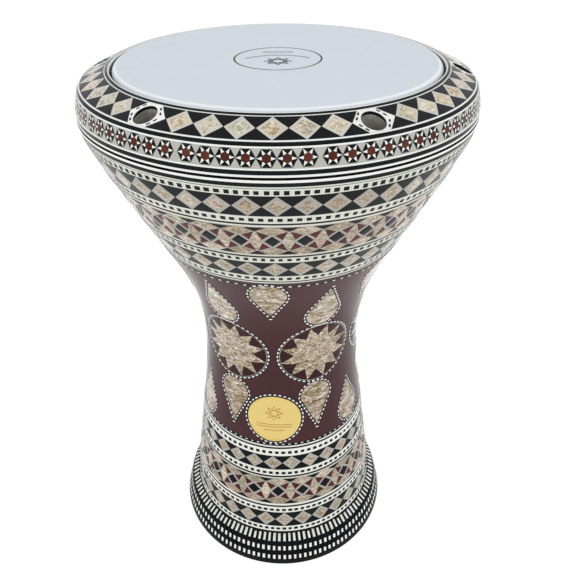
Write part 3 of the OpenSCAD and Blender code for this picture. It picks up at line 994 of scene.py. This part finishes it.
film = Build()
flat = [(r, HEAD_Z) for r in np.linspace(HEAD_R - EDGE_R, FLAT_MIDDLE, FLAT_RINGS)[1:]]
under = [(r, HEAD_Z - FILM_T) for r, z in flat[::-1]]
bent = bent_edge(EDGE_R - FILM_T, QUARTER[::-1]) + bent_edge(EDGE_R, QUARTER)
lathe(film, [*under, *bent, *flat], np.array([0, 0, HEAD_Z]), np.array([0, 0, HEAD_Z - FILM_T]))
s = Shader("film", roughness=0.38, specular=0.45)
cloud = s.noise(9.0, 3.0)
out = s.node("ShaderNodeVectorMath", {0: s.coords, 1: (1.0, 1.0, 0.0)}, operation="MULTIPLY").outputs[0]
out = s.node("ShaderNodeVectorMath", {0: out}, operation="LENGTH").outputs["Value"]
# A painted highlight: the film is painted paler in a ring over its rounded edge, where it bends down over the
# rim, in place of the light that the edge catches.
bend = s.ramp(s.node("ShaderNodeMapRange", {
    "Value": out, "From Min": (HEAD_R - EDGE_R) * MM, "From Max": HEAD_R * MM,
}).outputs[0], [(0.0, paint(0, 0, 0)), (0.35, paint(255, 255, 255)), (0.75, paint(0, 0, 0))])
clear = s.mix(cloud, paint(207, 214, 220), paint(213, 219, 225))
# The painted edge highlight is mixed into the film's own colour here.
s.link("Base Color", s.mix(s.grey(bend), clear, paint(240, 243, 244)))
s.link("Roughness", s.math("MULTIPLY_ADD", cloud, 0.1, 0.5))
film.object("drumhead_film_skin", s.material, BODY, "film", ["drumhead_film"])


class OnHead:
    """Lays a flat drawing (across, away from the front) onto the playing surface."""

    step = np.array([3.0, 3.0])

    def __init__(self, y):
        self.y = y

    def __call__(self, points, lift):
        return np.column_stack([points[:, 0], points[:, 1] + self.y, np.full(len(points), HEAD_Z + lift)])


PRINT_R, PRINT_Y, PRINT_LIFT, PRINT_ROOT = 29.4, -3.0, 0.03, -0.01
EMBLEM_Y, EMBLEM_R, EMBLEM_RING, EMBLEM_HALF = -8.0, 9.5, 0.62, 0.4
TICKS_EACH_SIDE, TICK_TURN, TICK_OUT, TICK_IN, TICK_DROP, TICK_HALF = 12, 3.4, 33.0, 30.8, 24, 0.5
STROKES_EACH_SIDE, STROKE_STEP, STROKE_REACH, STROKE_RISE, STROKE_HALF = 5, 1.9, 0.6, 0.8, 0.45
onto = OnHead(PRINT_Y)
printed = Build()


def flat_tile(corners):
    rim = split_edges(np.array(corners, float), onto.step)
    mid = rim.mean(0)
    printed.loft([onto(rim, PRINT_ROOT), onto(rim, PRINT_LIFT)],
                 onto(mid[None], PRINT_LIFT), onto(mid[None], PRINT_ROOT))


def flat_ring(radius, half, centre=(0.0, 0.0)):
    loops = [onto(circle(radius + d, 120) + centre, h) for d, h in
             ((half, PRINT_ROOT), (half, PRINT_LIFT), (-half, PRINT_LIFT), (-half, PRINT_ROOT))]
    printed.loft(loops, round_trip=True)


# A ring around a plain star, with ticks and strokes in the place of lettering
flat_ring(PRINT_R, 0.6)
flat_ring(EMBLEM_R * EMBLEM_RING, EMBLEM_HALF, (0.0, EMBLEM_Y))
for corners in star_bars(EMBLEM_R, EMBLEM_Y, EMBLEM_HALF):
    flat_tile(corners)
for k in range(-TICKS_EACH_SIDE, TICKS_EACH_SIDE + 1):
    a = math.radians(90 + TICK_TURN * k)
    ends = [(r * math.cos(a), r * math.sin(a) - TICK_DROP) for r in (TICK_OUT, TICK_IN)]
    flat_tile(bar(*ends, TICK_HALF))
for k in range(-STROKES_EACH_SIDE, STROKES_EACH_SIDE + 1):
    for up in (14.0, 17.2):
        here = STROKE_STEP * k
        ends = [(here - STROKE_REACH, up), (here + STROKE_REACH, up + STROKE_RISE)]
        flat_tile(bar(*ends, STROKE_HALF))
s = Shader("print", roughness=0.5)
s.link("Base Color", s.mix(s.noise(300.0), paint(12, 13, 15), paint(26, 28, 31)))
printed.object("drumhead_print", s.material, BODY, "film")


# ---- bolts ----

BOLT_HEAD_R = (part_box("tuning_bolt_1")[1].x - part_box("tuning_bolt_1")[0].x) / 2 / MM
BOLT_HEAD_H, KEY_AF, KEY_DEPTH, KEY_CONE, KEY_BEVEL = 8.0, 6.0, 4.6, 1.0, 0.25
BEVEL, KNURL_DEPTH, PLAIN_CROWN = 0.6, 0.1, 1.5
PITCH_M8, THREAD_R, CORE_R, POINT_CUT, ROUND = 1.25, 3.98, 3.35, 0.4, 48
TURN = np.arange(ROUND) * 2 * math.pi / ROUND
HEXAGON = KEY_AF / 2 / np.cos((TURN % (math.pi / 3)) - math.pi / 6)
KNURL = BOLT_HEAD_R - KNURL_DEPTH * (np.arange(ROUND) % 2)
BOLT_METAL = metal("bolt", paint(96, 92, 84), paint(136, 130, 120), 0.38, 700.0, 0.00004).material


def bolt_profile(tip, crown):
    """(radius, height) from the tip up the thread and the head, then down into the hexagon socket."""
    seat, key_floor = crown - BOLT_HEAD_H, crown - KEY_DEPTH
    made = [(CORE_R - POINT_CUT, tip)]
    for z in np.arange(tip + 0.5, seat - 0.4, PITCH_M8 / 6):
        wave = np.abs(((z - tip) / PITCH_M8 - TURN / (2 * math.pi)) % 1 * 2 - 1)
        fade = min(1.0, (z - tip) / 2)
        made.append((CORE_R + (THREAD_R - CORE_R) * wave * fade, z))
    made += [(THREAD_R, seat - 0.3), (THREAD_R, seat), (BOLT_HEAD_R, seat), (KNURL, seat + 0.3)]
    made += [(KNURL, crown - PLAIN_CROWN - 0.1), (BOLT_HEAD_R, crown - PLAIN_CROWN)]
    made += [(BOLT_HEAD_R, crown - BEVEL), (BOLT_HEAD_R - BEVEL, crown)]
    made += [(HEXAGON + KEY_BEVEL, crown), (HEXAGON, crown - KEY_BEVEL), (HEXAGON, key_floor)]
    return made + [(1.0, key_floor - KEY_CONE + 0.2)]


for i, node in enumerate(BOLTS):
    x, y = bolt_axis(node)
    tip, crown = low(node), high(node)
    loops = [np.column_stack([x + r * np.cos(TURN), y + r * np.sin(TURN), np.full(ROUND, z)])
             for r, z in bolt_profile(tip, crown)]
    bolt = Build()
    bolt.loft(loops, np.array([x, y, crown - KEY_DEPTH - KEY_CONE]), np.array([x, y, tip]))
    bolt.object(f"{node}_threaded", BOLT_METAL, f"bolt_{i + 1}", "bolt_steel", [node], sharp=32)


# ---- bare castings and small metal parts, as the CAD has them ----

def refinish(node, finish):
    """Keeps the CAD's own shape and gives it one finish."""
    mesh = NODES[node].data
    mesh.materials.clear()
    mesh.materials.append(finish)


# The shell is bare aluminium inside and black below the lowest band.
FOOT_EDGE = low("foot_blocks_lower") * MM
shell = metal("cast_shell", paint(150, 151, 153), paint(188, 189, 191), 0.42, 260.0, 0.00025)
height = shell.node("ShaderNodeSeparateXYZ", {"Vector": shell.coords}).outputs["Z"]
colour = shell.bsdf.inputs["Base Color"].links[0].from_socket
edge = shell.math("LESS_THAN", height, FOOT_EDGE)
shell.link("Base Color", shell.mix(edge, colour, paint(10, 11, 12)))
shell.link("Specular IOR Level", shell.math("SUBTRACT", 0.5, shell.math("MULTIPLY", edge, 0.4)))
shell.link("Metallic", shell.math("SUBTRACT", 1.0, edge))
refinish("shell", shell.material)
CAST = metal("cast_ring", paint(84, 80, 72), paint(216, 212, 204), 0.42, 240.0, 0.0001, 0.4)
refinish("tuning_ring", CAST.material)
refinish("drumhead_hoop", metal("hoop", paint(182, 184, 188), paint(206, 208, 211), 0.3, 900.0).material)
refinish("thread_inserts", metal("insert", paint(168, 150, 112), paint(190, 172, 132), 0.35, 900.0).material)
s = Shader("collar", roughness=0.4)
s.link("Base Color", s.mix(s.noise(20.0), paint(204, 212, 220), paint(214, 221, 228)))
refinish("drumhead_collar", s.material)


# ---- studio ----

FLOOR_GLOW, SKY_GLOW = 0.82, 0.78


def floor_plane(size):
    mesh = bpy.data.meshes.new("floor")
    corners = [(-size, -size, 0), (size, -size, 0), (size, size, 0), (-size, size, 0)]
    mesh.from_pydata(corners, [], [(0, 1, 2, 3)])
    s = Shader("floor", roughness=0.9, specular=0.0)
    s.link("Base Color", s.mix(s.noise(2.0), paint(150, 150, 150), paint(153, 153, 153)))
    s.set("Emission Color", (1.0, 1.0, 1.0, 1.0))
    s.set("Emission Strength", FLOOR_GLOW)
    mesh.materials.append(s.material)
    made = bpy.data.objects.new("floor", mesh)
    bpy.context.scene.collection.objects.link(made)
    return made


floor = floor_plane(30.0)

world = bpy.data.worlds.new("studio")
world.use_nodes = True
sky = world.node_tree.nodes["Background"].inputs
sky["Color"].default_value = (0.97, 0.98, 1.0, 1.0)
sky["Strength"].default_value = SKY_GLOW
bpy.context.scene.world = world
bpy.context.scene.view_settings.view_transform = "Standard"


def softbox(name, place, target, size, watts):
    light = bpy.data.lights.new(name, "AREA")
    light.shape, light.size, light.size_y, light.energy = "RECTANGLE", size[0], size[1], watts
    made = bpy.data.objects.new(name, light)
    made.location = place
    made.rotation_mode = "QUATERNION"
    made.rotation_quaternion = (Vector(target) - Vector(place)).to_track_quat("-Z", "Y")
    bpy.context.scene.collection.objects.link(made)


CENTRE = (CAD_BOX[0] + CAD_BOX[1]) / 2
softbox("over", (0.3, -0.3, 2.2), CENTRE, (1.6, 1.2), 6)
softbox("left", (-1.6, -1.2, 1.2), CENTRE, (1.0, 1.4), 6)
softbox("right", (1.7, -0.9, 1.0), CENTRE, (1.0, 1.4), 5)

# The camera, as fitted to the photo: where it stands, and how far it looks down, aside and rolled
LENS, SENSOR = 37.67, 36.0
EYE = (0.0, -0.42470, 0.54395)
DOWN, YAW, ROLL = (math.radians(a) for a in (34.7342, 0.8029, 0.3161))
forward = Vector((math.sin(YAW) * math.cos(DOWN), math.cos(YAW) * math.cos(DOWN), -math.sin(DOWN)))
right = Vector((math.cos(YAW), -math.sin(YAW), 0.0))
downward = forward.cross(right)
camera = bpy.data.objects.new("camera", bpy.data.cameras.new("camera"))
camera.data.lens, camera.data.sensor_width = LENS, SENSOR
camera.data.clip_start, camera.data.clip_end = 0.01, 100.0
x_axis = math.cos(ROLL) * right + math.sin(ROLL) * downward
y_axis = math.sin(ROLL) * right - math.cos(ROLL) * downward
turned = Matrix((x_axis, y_axis, -forward)).transposed().to_4x4()
camera.matrix_world = Matrix.Translation(EYE) @ turned
bpy.context.scene.collection.objects.link(camera)
bpy.context.scene.camera = camera
